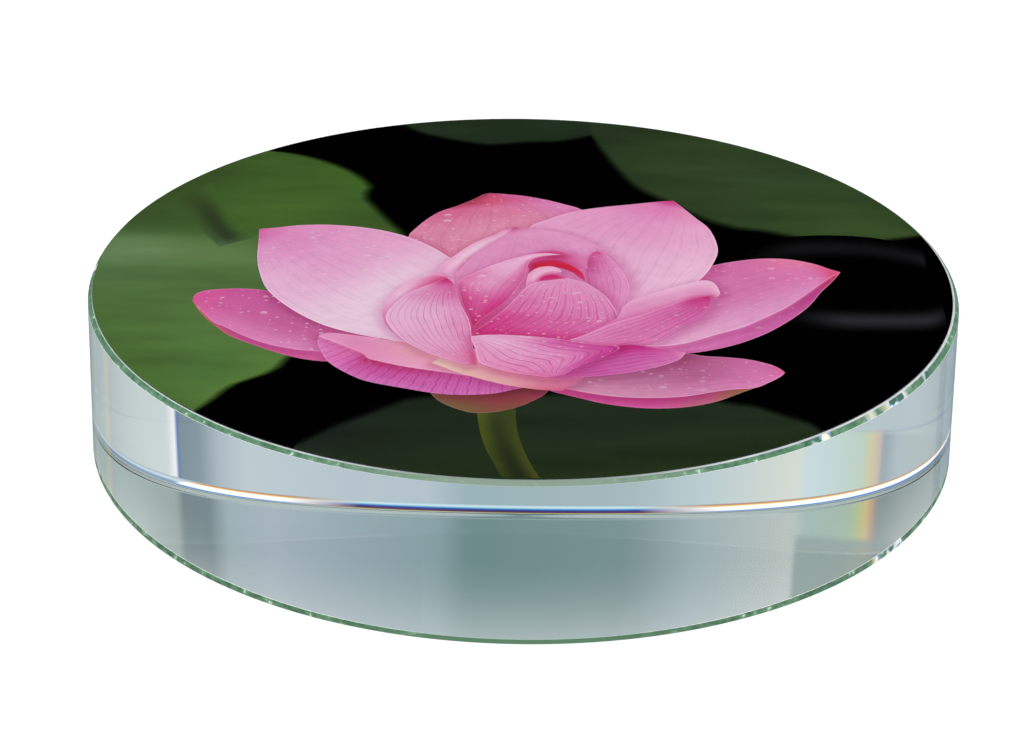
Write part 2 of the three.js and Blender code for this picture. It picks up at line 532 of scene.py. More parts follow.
ink("leaf_left_vein",
    [(-34.6, 16.5), (-32, 14), (-30, 9.5), (-28.5, 6.8)],
    [(-30.6, 22), (-29.2, 17.5), (-27.6, 12.5), (-25.6, 9)],
    [(0.0, (66, 92, 48), (62, 84, 42), (68, 98, 46)),
     (0.5, (66, 92, 48), (52, 66, 38), (70, 102, 46)),
     (0.85, (72, 98, 60), (50, 64, 42), (70, 100, 48)),
     (1.0, (84, 112, 84), (74, 98, 62), (74, 104, 54))])
ink("leaf_top",
    rim_arc(109.0, 80.5),
    [(-12.7, 37), (-10, 34.4), (-5, 32.2), (-3, 32), (0, 32.7), (3.5, 33.1), (6.5, 34.6)],
    [(0.0, (38, 52, 34), (36, 50, 34), (34, 46, 32)),
     (1.0, (38, 54, 36), (36, 52, 34), (34, 48, 32))],
    soft=1.2)
ink("leaf_upper_right",
    rim_arc(80.5, 16.6),
    [(6.5, 34.6), (7.2, 31), (8.7, 26), (10.4, 21.8), (13, 18.6), (16.6, 14.4), (19.5, 12.3),
     (22, 11.7), (24.5, 10.7), (28.2, 9.2), (31, 9), (34, 9.9), (37.8, 11.2)],
    [(0.0, (46, 62, 38), (44, 60, 36), (40, 56, 34)),
     (0.4, (50, 68, 40), (54, 72, 42), (50, 68, 40)),
     (0.8, (54, 74, 42), (58, 80, 42), (56, 78, 42)),
     (1.0, (54, 74, 42), (58, 78, 42), (56, 76, 42))],
    soft=1.5)
ink("leaf_lower",
    rim_arc(241.0, 311.2),
    [(-19, -33), (-16.7, -30), (-14, -27.5), (-11.5, -25.2), (-9, -23.6), (-2, -22.8), (6, -22.6),
     (15, -23), (18.7, -24), (20.3, -24.4), (22.5, -26), (25, -27.6), (25.8, -29.4)],
    [(0.0, (36, 46, 34), (34, 42, 34), (30, 38, 34)),
     (0.35, (38, 50, 30), (36, 46, 32), (34, 44, 32)),
     (0.7, (36, 50, 28), (38, 50, 34), (38, 50, 36)),
     (1.0, (36, 50, 28), (38, 50, 34), (36, 46, 32))],
    soft=1.5)
GREY = (44, 44, 50)
for name, spine in (("blur_low", ((23, -6.2), (29, -7.4), (36, -7.2), (38.3, -6))),
                    ("blur_high", ((19, 3.4), (25, 8), (32, 8.4), (37.5, 6.2)))):
    ink(name, [(x, y + 2.9) for x, y in spine], [(x, y - 2.9) for x, y in spine],
        [(0.0, BLACK, BLACK, BLACK), (0.45, BLACK, GREY if name == "blur_low" else (22, 22, 24), BLACK),
         (0.85, BLACK, GREY if name == "blur_low" else (20, 20, 22), BLACK),
         (1.0, BLACK, (26, 26, 30), BLACK)])
ink("stem",
    [(-3.9, -25.5), (-3.8, -28), (-3.5, -31), (-3.0, -34), (-2.2, -37), (-1.6, -39.2)],
    [(-0.5, -25.5), (-0.5, -28), (-0.3, -31), (0.2, -34), (0.9, -37), (1.6, -39.2)],
    [(0.0, (84, 96, 40), (60, 74, 38), (62, 74, 36)),
     (0.4, (80, 90, 34), (50, 60, 32), (70, 78, 34)),
     (0.8, (62, 74, 34), (40, 48, 28), (72, 80, 32)),
     (1.0, (56, 68, 32), (38, 44, 27), (76, 84, 32))])

# Petals, from the back of the flower to the front.
ink("petal_back",
    [(-6, 0), (-9, 4), (-10.9, 9), (-10.2, 12), (-8.4, 15.4), (-6.5, 17.2), (-5, 18.8), (-4, 20.1),
     (-3.4, 20.4)],
    [(0, 0), (3, 6), (6, 11), (6.8, 14), (5.4, 16.8), (3.7, 18), (2, 19), (-0.5, 19.95), (-3.4, 20.4)],
    [(0.0, (215, 125, 155), (215, 130, 160), (220, 140, 175)),
     (0.5, (214, 124, 160), (217, 134, 165), (219, 142, 185)),
     (0.72, (206, 92, 135), (214, 112, 152), (216, 125, 180)),
     (0.86, (175, 50, 85), (206, 80, 122), (210, 98, 158)),
     (1.0, (140, 45, 70), (190, 60, 105), (200, 80, 140))],
    veins=0.25, count=9.0, rim=0.3, wet=0.9)
RIGHT_FOLD = [(9, -13), (12, -13.4), (14.5, -12.7), (17.5, -10.7), (19.8, -9.2), (21.5, -7.5),
              (23.8, -5), (25.8, -2.1), (27.3, 0.3), (28.6, 2.2), (29.4, 3.1)]
ink("petal_right_under",
    RIGHT_FOLD,
    [(12, -15), (15, -14.75), (18.5, -13.2), (21.5, -10.8), (23.7, -8.2), (25.5, -5.5), (26.5, -3.5),
     (27.3, -1.5), (28.3, 0.5), (29, 2), (29.4, 3.1)],
    [(0.0, (222, 140, 190), (215, 120, 178), (205, 100, 165)),
     (0.5, (215, 120, 180), (205, 98, 165), (200, 90, 158)),
     (0.8, (205, 90, 155), (196, 72, 145), (190, 70, 140)),
     (1.0, (215, 60, 110), (200, 40, 95), (190, 40, 90))],
    veins=0.4, rim=0.5, wet=0.4)
ink("petal_right",
    [(6, -8), (10, -2), (14, 2), (17.6, 4.2), (19.5, 5.1), (21.5, 5.75), (23.3, 5.95), (25, 5.75),
     (27, 4.9), (28.5, 3.7), (29.4, 3.1)],
    RIGHT_FOLD,
    [(0.0, (205, 95, 160), (220, 140, 192), (228, 165, 203)),
     (0.35, (203, 98, 160), (209, 120, 173), (222, 156, 196)),
     (0.6, (206, 102, 163), (208, 110, 168), (220, 144, 192)),
     (0.85, (224, 118, 160), (216, 112, 170), (218, 128, 185)),
     (1.0, (222, 70, 115), (215, 70, 120), (215, 60, 115))],
    veins=0.2, count=9.0, rim=0.45, wet=0.6)
ink("petal_back_right",
    [(4, -8), (1, 0), (-0.5, 8), (0.5, 12.4), (1.9, 14), (3.5, 15.4), (5.4, 16.6), (7.5, 17.4),
     (10, 18.1), (12.8, 18.9), (14.3, 19.2)],
    [(9, -8), (13, -4), (16.2, 0.8), (17.6, 4.5), (18.2, 8), (17.6, 12.4), (16.3, 15.2), (15, 17.9),
     (14.3, 19.2)],
    [(0.0, (228, 170, 205), (228, 170, 205), (229, 173, 206)),
     (0.4, (226, 160, 200), (228, 166, 203), (231, 177, 208)),
     (0.7, (225, 150, 193), (223, 144, 191), (229, 162, 199)),
     (0.9, (223, 128, 182), (219, 120, 177), (226, 134, 182)),
     (1.0, (205, 40, 120), (205, 40, 120), (205, 40, 120))],
    veins=0.2, count=12.0, rim=0.4, wet=0.2)
LOW_RIGHT_FOLD = [(2.2, -21.5), (3.8, -22.3), (5.8, -23.1), (8, -23.7), (10.3, -23.9), (12.5, -23.8),
                  (14.5, -23.4), (16.5, -22.6), (18.3, -22), (20.3, -21.6)]
ink("petal_low_right_under",
    [(2.0, -21.6), (2.5, -22.8), (4.8, -24), (6.8, -25), (8.8, -25.6), (10.8, -25.9), (13, -25.8),
     (15, -25.3), (17, -24.3), (18.5, -23.1), (20.3, -21.6)],
    [(2.2, -21.5), (3.8, -22), (5.8, -22.9), (8, -23.5), (10.3, -23.7), (12.5, -23.6), (14.5, -23.2),
     (16.5, -22.4), (18.3, -21.8), (20.3, -21.5)],
    [(0.0, (195, 60, 130), (200, 70, 140), (205, 80, 150)),
     (0.5, (205, 80, 150), (200, 70, 145), (190, 60, 135)),
     (0.75, (185, 90, 115), (190, 85, 130), (180, 70, 125)),
     (0.92, (150, 105, 75), (165, 110, 80), (165, 90, 90)),
     (1.0, (160, 110, 85), (170, 110, 90), (180, 110, 100))],
    veins=0.3, count=5.0, rim=0.3)
ink("petal_low_right",
    LOW_RIGHT_FOLD + [(21.5, -20.6), (22.75, -19.2), (23.1, -18.4)],
    [(1.5, -20.5), (4, -18), (8, -15.5), (12, -14.6), (14.8, -14.9), (16, -15.3), (18, -15.5),
     (20, -15.9), (21.5, -16.6), (22.5, -17.4), (23.1, -18.4)],
    [(0.0, (205, 135, 165), (195, 125, 150), (188, 108, 138)),
     (0.35, (206, 132, 170), (180, 104, 144), (168, 90, 126)),
     (0.6, (208, 124, 172), (178, 88, 138), (164, 74, 120)),
     (0.85, (216, 120, 175), (206, 108, 165), (198, 98, 155)),
     (1.0, (220, 110, 165), (215, 95, 155), (212, 90, 150))],
    veins=0.25, count=8.0, rim=0.4, wet=0.6)
ink("petal_far_left_under",
    [(-14, -17.5), (-17, -17.6), (-19, -17.25), (-21, -16.4), (-23, -15.1), (-24.8, -13.8),
     (-26.3, -12.5), (-27.5, -10.8), (-28.6, -9), (-29.4, -7.3), (-30.1, -5.3)],
    [(-14, -15.5), (-18.3, -15.4), (-20.8, -14.9), (-23, -13.9), (-25, -12.4), (-26.8, -10.6),
     (-27.8, -9.8), (-28.8, -8), (-29.5, -6.5), (-30.1, -5.2)],
    [(0.0, (205, 90, 155), (205, 95, 160), (210, 110, 170)),
     (0.5, (205, 85, 150), (200, 80, 148), (205, 95, 160)),
     (0.75, (205, 110, 115), (205, 95, 130), (205, 90, 145)),
     (0.9, (190, 125, 90), (200, 115, 100), (205, 90, 120)),
     (1.0, (190, 100, 90), (200, 90, 100), (210, 80, 120))],
    veins=0.25, rim=0.2)
ink("petal_far_left",
    [(-14, -15.6), (-18.3, -15.5), (-20.8, -15), (-23, -14), (-25, -12.5), (-26.8, -10.7),
     (-27.8, -9.9), (-28.8, -8.1), (-29.6, -6.6), (-30.1, -5.3)],
    [(-12, -11), (-16, -8.5), (-20, -5), (-23.5, -2.9), (-25.8, -2.5), (-27.8, -2.7), (-29.2, -3.1),
     (-30, -4), (-30.1, -5.2)],
    [(0.0, (212, 125, 178), (196, 95, 150), (175, 75, 135)),
     (0.4, (214, 125, 180), (192, 88, 146), (176, 72, 134)),
     (0.7, (212, 115, 172), (200, 88, 152), (196, 80, 148)),
     (0.9, (212, 95, 155), (208, 82, 150), (208, 78, 148)),
     (1.0, (215, 75, 130), (214, 72, 130), (214, 72, 130))],
    veins=0.15, count=8.0, rim=0.35, wet=1.0)
ink("petal_left",
    [(-6, -15), (-10.9, -13.3), (-14.5, -12), (-18, -10), (-21, -6.8), (-23.4, -2.8), (-24.5, 1.5),
     (-24.9, 5), (-25, 8.5), (-25.1, 11)],
    [(-4, -6), (-4, 0), (-6.9, 5), (-9, 7.8), (-10.9, 9.6), (-12.8, 10.8), (-14.5, 11.5), (-16.5, 12),
     (-19, 12.25), (-21.5, 12), (-23.5, 11.4), (-25.1, 11)],
    [(0.0, (228, 190, 212), (231, 192, 215), (232, 188, 213)),
     (0.35, (229, 190, 215), (231, 192, 216), (229, 178, 208)),
     (0.6, (227, 172, 206), (223, 152, 196), (224, 152, 194)),
     (0.85, (220, 145, 192), (217, 132, 186), (220, 136, 186)),
     (0.96, (208, 95, 165), (214, 110, 170), (216, 115, 170)),
     (1.0, (212, 55, 130), (212, 55, 130), (212, 60, 130))],
    veins=0.16, count=12.0, rim=0.45, wet=1.0)
ink("calyx",
    [(-8.2, -23), (-8, -23.5), (-7.25, -25), (-6, -26.3), (-4.5, -27.2), (-3.3, -27.3), (-1.8, -26.9),
     (-0.3, -26), (0.6, -25.2), (1.8, -23.8), (2.3, -22.7)],
    [(-7, -22), (-6, -22), (-5, -22), (-4, -22), (-3, -22), (-2.5, -22), (-2, -22), (-1, -22), (0, -22),
     (1, -22), (2.2, -22)],
    [(0.0, (128, 84, 60), (138, 58, 72), (126, 38, 62)),
     (0.35, (118, 86, 54), (130, 62, 60), (118, 34, 52)),
     (0.6, (132, 70, 58), (138, 48, 62), (104, 28, 42)),
     (1.0, (148, 48, 80), (132, 36, 66), (100, 28, 40))],
    veins=0.4, rim=0.2)
CURL_FOLD = [(2.2, -20.3), (-0.3, -20.4), (-2.8, -20.3), (-4.8, -20), (-6.5, -19.5), (-8.3, -19),
             (-10, -18.5), (-11.5, -17.9), (-13, -17.2), (-13.7, -16.8), (-14.1, -15.9), (-15, -15.1),
             (-16.3, -14), (-17.5, -13), (-18.2, -12.5)]
ink("curled_petal_outside",
    [(2.3, -20.4), (1, -21.5), (0, -22.3), (-1, -22.8), (-2.5, -23.5), (-4.5, -23.8), (-6.5, -23.8),
     (-8.3, -23.4), (-10, -22.8), (-12, -22.1), (-13.8, -21.3), (-15.3, -20), (-16.5, -18.6),
     (-17.3, -17.3), (-17.9, -15.5), (-18.25, -14), (-18.25, -12.6)],
    CURL_FOLD,
    [(0.0, (200, 90, 160), (205, 100, 165), (215, 120, 175)),
     (0.3, (205, 100, 175), (200, 88, 165), (205, 90, 165)),
     (0.6, (205, 105, 178), (200, 82, 160), (198, 60, 130)),
     (0.72, (210, 105, 178), (202, 78, 155), (196, 56, 122)),
     (0.8, (215, 115, 180), (215, 105, 172), (222, 125, 180)),
     (1.0, (220, 130, 185), (222, 135, 188), (226, 145, 192))],
    veins=0.8, rim=0.2, wet=0.2, count=26.0, turned=True)
ink("curled_petal_inside",
    CURL_FOLD,
    [(2.2, -20.1), (-0.3, -19.4), (-1.5, -18.8), (-2.8, -18.1), (-4, -17.6), (-5.2, -17.6),
     (-6.5, -16.8), (-8, -15.5), (-9.8, -13.9), (-10.9, -13.2), (-12, -13), (-14, -12.4), (-16, -11.9),
     (-17.5, -11.7), (-18.2, -12.2)],
    [(0.0, (220, 130, 160), (222, 150, 150), (215, 125, 125)),
     (0.3, (226, 160, 180), (226, 168, 170), (224, 182, 160)),
     (0.55, (226, 150, 190), (224, 148, 178), (222, 168, 170)),
     (0.8, (222, 130, 178), (220, 132, 178), (220, 135, 180)),
     (1.0, (226, 150, 195), (222, 140, 188), (220, 135, 182))],
    veins=0.12, rim=0.35, wet=0.2)
ink("flower_base",
    [(-8, -17.5), (-5.5, -19.5), (-2, -21.5), (1, -22.5), (3.5, -22.8)],
    [(-5.5, -14), (-3.5, -15), (0, -18), (3, -19), (5.5, -20)],
    [(0.0, (228, 196, 180), (226, 186, 182), (224, 160, 178)),
     (0.5, (224, 160, 165), (222, 145, 165), (220, 145, 175)),
     (1.0, (205, 90, 130), (208, 110, 150), (212, 120, 165))],
    veins=0.2)
ink("cup_back_band",
    [(-7.2, 0.5), (-8, 2), (-7.5, 3.5), (-6.5, 5.5), (-5.5, 7.3), (-4.3, 9), (-2.8, 10.5), (-1.8, 11.8),
     (-0.6, 12.4)],
    [(-5, 0), (-5.5, 2.5), (-4.9, 4.5), (-4.2, 6), (-3, 8), (-1.6, 10.2), (-0.7, 11.9), (-0.6, 12.3)],
    [(0.0, (226, 150, 190), (230, 165, 200), (215, 100, 160)),
     (0.5, (228, 160, 198), (238, 195, 218), (225, 145, 190)),
     (0.85, (224, 140, 185), (234, 180, 208), (222, 130, 180)),
     (1.0, (205, 70, 130), (205, 70, 130), (205, 70, 130))],
    veins=0.2, rim=0.3, wet=0.6)
ink("cup_back",
    [(-4.9, -14), (-6, -8), (-6.2, -3), (-6.4, 1), (-5.8, 2.8), (-5.2, 4.5), (-4.5, 6), (-3.3, 8),
     (-1.8, 10.3), (-0.7, 12.1), (-0.6, 12.3)],
    [(5, -14), (8.5, -9), (9.2, -5.5), (9.5, -3), (9.75, -0.3), (9.5, 1.3), (9, 3.5), (8.4, 5.3),
     (7.6, 6.8), (6.8, 8.3), (5.5, 9.8), (4.3, 10.8), (3, 11.4), (1.5, 11.9), (-0.6, 12.3)],
    [(0.0, (198, 34, 114), (200, 40, 118), (215, 110, 168)),
     (0.2, (206, 70, 140), (208, 90, 150), (220, 135, 185)),
     (0.4, (217, 130, 180), (214, 124, 176), (224, 150, 195)),
     (0.7, (219, 138, 184), (217, 134, 182), (222, 146, 192)),
     (0.92, (218, 134, 182), (220, 142, 186), (221, 144, 190)),
     (1.0, (205, 80, 140), (210, 100, 150), (215, 120, 170))],
    veins=0.2, rim=-0.35, wet=0.3)
ink("inner_right",
    [(6, -5), (5.7, 0), (5.6, 2), (5.8, 4), (6.1, 6), (6.8, 7.1)],
    [(9, -5.5), (9.5, -3), (9.7, -0.5), (9.3, 2), (8.5, 4.5), (7.6, 6.4), (6.8, 7.1)],
    [(0.0, (214, 110, 168), (218, 125, 178), (222, 140, 190)),
     (0.5, (212, 112, 168), (216, 124, 176), (222, 142, 190)),
     (0.85, (204, 80, 145), (212, 105, 165), (220, 132, 182)),
     (1.0, (200, 45, 120), (205, 60, 130), (212, 90, 150))],
    veins=0.5, count=7.0, rim=0.3, wet=0.4)
ink("heart_shadow",
    [(0, 3), (0.4, 5.4), (1.6, 6.8), (2.6, 7.3)],
    [(6.0, 3), (5.6, 5.2), (4.2, 6.7), (2.6, 7.3)],
    [(0.0, (205, 70, 135), (210, 85, 145), (214, 110, 165)),
     (0.6, (206, 80, 142), (200, 55, 122), (214, 112, 166)),
     (1.0, (216, 125, 176), (214, 115, 170), (217, 130, 180))])
ink("heart_red",
    [(0.5, 1.5), (0.5, 3.0), (0.9, 4.2), (2.5, 4.9), (3.8, 4.3), (5, 2.9), (5.5, 1.7), (5.7, 0.2)],
    [(1.2, 1.4), (1.3, 2.6), (1.9, 3.3), (3.0, 3.2), (3.9, 2.7), (4.6, 2.0), (5.0, 1.2), (5.7, 0.2)],
    [(0.0, (205, 70, 140), (195, 40, 110), (205, 80, 150)),
     (0.3, (200, 36, 104), (200, 8, 58), (201, 16, 68)),
     (0.65, (205, 26, 80), (206, 4, 50), (203, 22, 86)),
     (1.0, (205, 50, 120), (200, 40, 110), (205, 70, 140))])
ink("bud_left",
    [(-4.6, -10), (-5, -7.5), (-5.5, -5.5), (-5.8, -3.5), (-6.1, -1.5), (-6, -0.2), (-5, 1.2),
     (-3.5, 2.9), (-2, 4.3), (-0.5, 5.4), (0.8, 6.1), (2, 6.4), (3.5, 6.1)],
    [(-4.4, -10.2), (-3.8, -8.5), (-2.5, -6.2), (-1.3, -3.8), (-0.5, -1.3), (0, 0.5), (0.3, 2.4),
     (0.4, 3.8), (0.9, 5), (2.0, 5.7), (3.5, 6.1)],
    [(0.0, (200, 40, 120), (198, 36, 116), (198, 30, 112)),
     (0.25, (208, 72, 142), (210, 78, 146), (200, 45, 125)),
     (0.5, (218, 120, 172), (224, 145, 188), (210, 92, 154)),
     (0.7, (228, 162, 200), (230, 168, 204), (214, 105, 162)),
     (0.9, (226, 150, 192), (234, 180, 208), (215, 105, 160)),
     (1.0, (226, 140, 186), (232, 170, 202), (220, 120, 170))],
    veins=0.4, count=9.0, rim=0.35, wet=1.0)
ink("heart_curl",
    [(0.2, -2), (0.3, 0.5), (0.6, 2), (1.4, 3.1), (2.5, 3.4), (3.3, 2.9), (3.5, 2.3)],
    [(1.4, -1.5), (1.5, 0.2), (2.0, 1.2), (2.6, 1.8), (3.1, 2.0), (3.4, 2.1), (3.5, 2.2)],
    [(0.0, (224, 140, 185), (218, 115, 170), (212, 100, 160)),
     (0.5, (228, 150, 190), (232, 172, 203), (214, 100, 155)),
     (1.0, (226, 150, 190), (230, 165, 200), (220, 130, 175))],
    rim=0.3)
ink("heart_dark",
    [(1.4, 0.3), (1.7, 1.1), (2.4, 1.6), (3.3, 1.5), (4.0, 0.8)],
    [(1.5, 0.1), (2.0, 0.3), (2.6, 0.4), (3.3, 0.5), (4.0, 0.7)],
    [(0.0, (205, 60, 130), (200, 40, 115), (205, 60, 130)),
     (0.5, (202, 45, 120), (196, 24, 102), (205, 60, 130)),
     (1.0, (212, 100, 160), (210, 90, 150), (212, 100, 160))])
ink("bud_front",
    [(-4.6, -12.2), (-4.4, -11), (-3.2, -9), (-1.8, -6.3), (-0.8, -4), (0, -1.8), (1, -0.3), (2.5, 0.3),
     (4, 0.8)],
    [(4, -12.6), (5.8, -11.3), (7.5, -9.8), (8.7, -8.5), (8.5, -6.5), (8.2, -5.2), (7.5, -3),
     (6.5, -1.2), (5.5, 0), (4, 0.8)],
    [(0.0, (200, 28, 112), (204, 48, 126), (206, 60, 135)),
     (0.25, (206, 60, 134), (212, 92, 156), (214, 108, 168)),
     (0.5, (215, 108, 166), (219, 122, 176), (219, 128, 180)),
     (0.8, (225, 145, 190), (223, 138, 186), (223, 145, 190)),
     (1.0, (228, 150, 192), (226, 145, 190), (228, 155, 195))],
    veins=0.75, count=13.0, rim=0.35, wet=1.0)
CUP_FOLD = [(-5, -17.9), (-7.5, -16.3), (-9, -15), (-10.3, -13.5), (-11.3, -11.8), (-12.1, -9.8),
            (-12.4, -8.2), (-12.1, -6.5), (-11.3, -4.5), (-10.3, -2.8), (-9, -1.3), (-7.8, -0.2),
            (-7.1, 0.5)]
ink("cup_left_band",
    [(-5, -18), (-7.5, -16.35), (-9, -15.1), (-10.3, -13.6), (-11.4, -11.8), (-12.3, -10),
     (-12.7, -7.8), (-12.65, -5.5), (-12, -3.4), (-11, -1.2), (-9.5, 0.4), (-8.2, 1.4), (-7.1, 0.7)],
    CUP_FOLD,
    [(0.0, (222, 130, 175), (222, 135, 180), (222, 135, 180)),
     (0.5, (222, 140, 186), (226, 150, 192), (226, 150, 192)),
     (0.75, (228, 168, 203), (234, 182, 211), (230, 165, 200)),
     (1.0, (224, 140, 185), (215, 90, 145), (205, 50, 120))],
    veins=0.1, rim=0.3, wet=0.6)
ink("cup_left",
    CUP_FOLD,
    [(-4, -17.8), (-4.1, -16.3), (-4.4, -14.3), (-4.6, -11.8), (-4.7, -10), (-5, -8), (-5.5, -6),
     (-5.9, -4), (-6.2, -2), (-6.5, -0.5), (-7.1, 0.5)],
    [(0.0, (224, 140, 180), (220, 120, 165), (214, 85, 140)),
     (0.3, (226, 160, 198), (225, 158, 196), (220, 130, 178)),
     (0.6, (228, 172, 206), (227, 168, 204), (222, 145, 190)),
     (0.85, (225, 155, 196), (217, 120, 172), (212, 100, 160)),
     (1.0, (202, 34, 114), (198, 26, 108), (200, 30, 112))],
    veins=0.8, count=12.0, rim=0.3, wet=0.5)
HOOD_FOLD = [(4.2, -12.5), (5.8, -11.2), (7.5, -9.4), (9, -8.2), (11, -6.8), (12.5, -5.5), (14, -4.3),
             (15.5, -3.2), (17, -2.6)]
ink("hood_inside",
    HOOD_FOLD,
    [(4.2, -12.4), (6.0, -10.8), (8.3, -8), (9.2, -5), (10.2, -3.6), (12, -2.2), (14, -0.7),
     (15.8, 0.4), (16.7, 0.8), (17.5, 0.3), (17.9, -1), (18, -2.3), (17.5, -3.0)],
    [(0.0, (220, 120, 175), (222, 130, 180), (222, 130, 180)),
     (0.4, (218, 120, 176), (222, 138, 186), (226, 155, 197)),
     (0.75, (222, 135, 184), (226, 152, 194), (232, 175, 207)),
     (0.92, (212, 100, 160), (222, 135, 182), (232, 172, 205)),
     (1.0, (205, 70, 140), (215, 110, 165), (228, 150, 192))],
    veins=0.25, rim=0.35, wet=0.3)
ink("hood_outside",
    HOOD_FOLD,
    [(6, -13.4), (8.5, -13.9), (10, -13.5), (11, -13.3), (12.5, -12), (13.5, -10.6), (14.6, -9.2),
     (15.8, -7.8), (16.6, -6.2), (17.1, -4.5), (17.2, -3.3), (17, -2.6)],
    [(0.0, (222, 135, 184), (220, 125, 178), (214, 90, 155)),
     (0.4, (220, 125, 178), (214, 112, 172), (216, 118, 176)),
     (0.7, (214, 110, 170), (208, 96, 162), (210, 100, 165)),
     (0.9, (204, 60, 135), (200, 60, 135), (204, 78, 148)),
     (1.0, (192, 18, 106), (192, 18, 106), (196, 30, 114))],
    veins=0.9, count=8.0, rim=0.35, wet=0.5)
ink("front_right",
    [(2, -20.2), (3.8, -20.1), (5.8, -19.95), (7.5, -19.6), (9.5, -19), (11, -18.3), (12.5, -17.4),
     (13.8, -16.3), (14.3, -15.3), (14.5, -14.7)],
    [(0, -19.6), (2.5, -17.5), (4.5, -15.8), (6.5, -14.4), (8, -13.7), (9, -13.3), (10, -13.3),
     (12, -13.9), (13.5, -14.4), (14.5, -14.7)],
    [(0.0, (214, 100, 165), (212, 95, 162), (214, 110, 170)),
     (0.35, (200, 85, 160), (198, 80, 156), (206, 90, 160)),
     (0.55, (205, 98, 168), (200, 85, 160), (194, 30, 126)),
     (0.72, (212, 112, 175), (204, 85, 162), (192, 24, 122)),
     (0.85, (216, 120, 178), (210, 100, 168), (204, 70, 150)),
     (1.0, (222, 140, 188), (220, 130, 182), (218, 120, 175))],
    veins=1.0, count=8.0, rim=0.2)
ink("front_left",
    [(2.2, -20.2), (0.8, -19.8), (-1, -19.3), (-2.5, -18.5), (-3.75, -17.5), (-4, -16.5),
     (-4.25, -14.5), (-4.6, -12.7), (-4.6, -12)],
    [(3.6, -19.6), (5.2, -17.6), (7.2, -15.8), (8.6, -14.2), (8.4, -13.6), (7, -13.4), (5.5, -13.1),
     (4, -12.5), (2.2, -12.1), (0, -11.75), (-1.8, -11.6), (-3.5, -11.7), (-4.6, -12)],
    [(0.0, (216, 110, 165), (216, 115, 172), (208, 95, 165)),
     (0.3, (222, 130, 178), (221, 130, 182), (196, 50, 140)),
     (0.55, (224, 140, 186), (226, 152, 195), (206, 80, 155)),
     (0.8, (224, 145, 188), (230, 168, 205), (226, 155, 196)),
     (1.0, (226, 150, 192), (230, 165, 202), (230, 165, 202))],
    veins=0.85, count=9.0, rim=0.45, wet=0.9)

# Each petal throws a soft shade on the ones behind it, a little below its own edge. All the petals
# are then printed a little brighter, so that they stand out from the dark water.
first_petal = [shape.name for shape in layers].index("petal_back")
for number, shape in enumerate(layers):
    if number < first_petal:
        continue
    mesh = shape.data
    spots = np.array([vertex.co[:2] for vertex in mesh.vertices]) / MM
    shadow = np.zeros(len(spots))
    for outline in outlines[number + 1:]:
        corners = np.array(outline) + np.array(SHADE_FALL)
        reach = min(SHADE_REACH, 0.12 * (np.ptp(corners[:, 0]) + np.ptp(corners[:, 1])))
        start, step = corners, np.roll(corners, -1, axis=0) - corners
        to_spot = spots[:, None, :] - start[None, :, :]
        part = np.clip((to_spot * step).sum(axis=2) / np.maximum((step * step).sum(axis=1), 1e-9), 0.0, 1.0)
        gap = np.sqrt(((to_spot - part[:, :, None] * step) ** 2).sum(axis=2)).min(axis=1)
        above = spots[:, None, 1] < start[None, :, 1]
        below = spots[:, None, 1] < (start + step)[None, :, 1]
        cross = to_spot[:, :, 0] * step[:, 1] > to_spot[:, :, 1] * step[:, 0]
        crossings = np.where(above != below, np.where(below, cross, ~cross), False).sum(axis=1)
        gap = np.where(crossings % 2 == 1, 0.0, gap)
        shadow = np.maximum(shadow, np.exp(-(gap / reach) ** 2))
    tint = mesh.color_attributes["tint"]
    for vertex, depth in zip(tint.data, shadow):
        lit = [light * channel * (1.0 - dim * depth) + lift
               for channel, (light, dim, lift) in zip(vertex.color, PETAL_LIGHT)]
        vertex.color = (*lit, 1.0)


def round_sheet(name, bottom, top):
    """A round cut from sheet, the size of the picture and set a hair off centre as it was stuck down."""
    sheet = turned_piece(name, ((PAPER_RADIUS, bottom), (PAPER_RADIUS, top)), 360)
    bpy.ops.transform.translate(value=(PAPER_SHIFT * MM, 0.0, 0.0))
    bpy.ops.object.transform_apply(location=True)
    return sheet


print_piece = round_sheet("printed_picture", PAPER_BOTTOM, PAPER_TOP)
for name, value in (("tint", (*BLACK_INK, 1.0)), ("finish", (0.0, 0.0, 0.0, 0.0)),
                    ("drawn", (0.0, 0.0, 10.0, 0.0))):
    plain = print_piece.data.color_attributes.new(name, "FLOAT_COLOR", "POINT")
    for vertex in plain.data:
        vertex.color = value
bpy.ops.object.select_all(action="DESELECT")
for shape in layers:
    shape.select_set(True)
print_piece.select_set(True)
bpy.context.view_layer.objects.active = print_piece
bpy.ops.object.join()

paint = bpy.data.materials.new("printed_paper")
paint.use_nodes = True
inks = paint.node_tree
shader = inks.nodes["Principled BSDF"]


def read(name):
    """What each shape's points carry under this name, whole and split in three."""
    node = inks.nodes.new("ShaderNodeAttribute")
    node.attribute_name = name
    split = inks.nodes.new("ShaderNodeSeparateXYZ")
    inks.links.new(node.outputs["Vector"], split.inputs[0])
    return node, split


tint, _ = read("tint")
finish, finish_parts = read("finish")
drawn, drawn_parts = read("drawn")
veins, rim, wet = finish_parts.outputs[0], finish_parts.outputs[1], finish_parts.outputs[2]
soft = finish.outputs["Alpha"]
across_petal, along_petal, edge = drawn_parts.outputs[0], drawn_parts.outputs[1], drawn_parts.outputs[2]

place = inks.nodes.new("ShaderNodeTexCoord").outputs["Object"]
